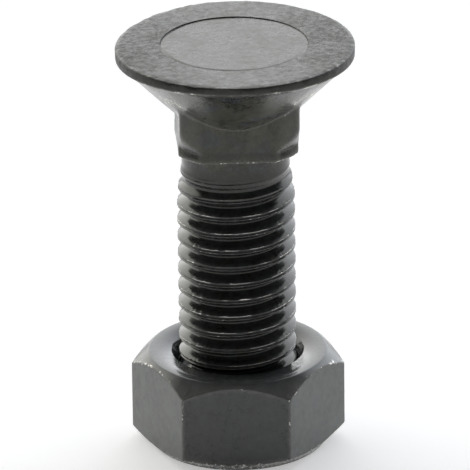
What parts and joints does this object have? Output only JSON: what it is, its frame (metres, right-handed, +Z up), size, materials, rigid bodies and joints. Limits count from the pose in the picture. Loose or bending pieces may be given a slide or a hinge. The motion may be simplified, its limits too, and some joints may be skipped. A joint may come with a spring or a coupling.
{
  "type": "plow bolt",
  "caption": "Flat countersunk head bolt with a square neck under the cone, a rolled thread and a hex nut run on to its tip.",
  "frame": {"origin": "on the bolt's axis, at the face that the nut stands on", "axes": "+Z up along the bolt from the nut to the head, X and Y square to the flats of the neck"},
  "size_m": [0.02, 0.02, 0.0356],
  "materials": {
    "bolt_steel": "forged steel, blackened, satin, worn bright on the thread crests",
    "nut_steel": "forged steel, blackened, semi-gloss"
  },
  "bodies": {
    "bolt": {"plow_bolt": "bolt_steel"},
    "nut": {"hex_nut": "nut_steel"}
  },
  "joints": [
    {"name": "nut_travel", "type": "slide", "parent": "bolt", "child": "nut", "axis": [0, 0, 1], "range_m": [0, 0.0135]}
  ]
}
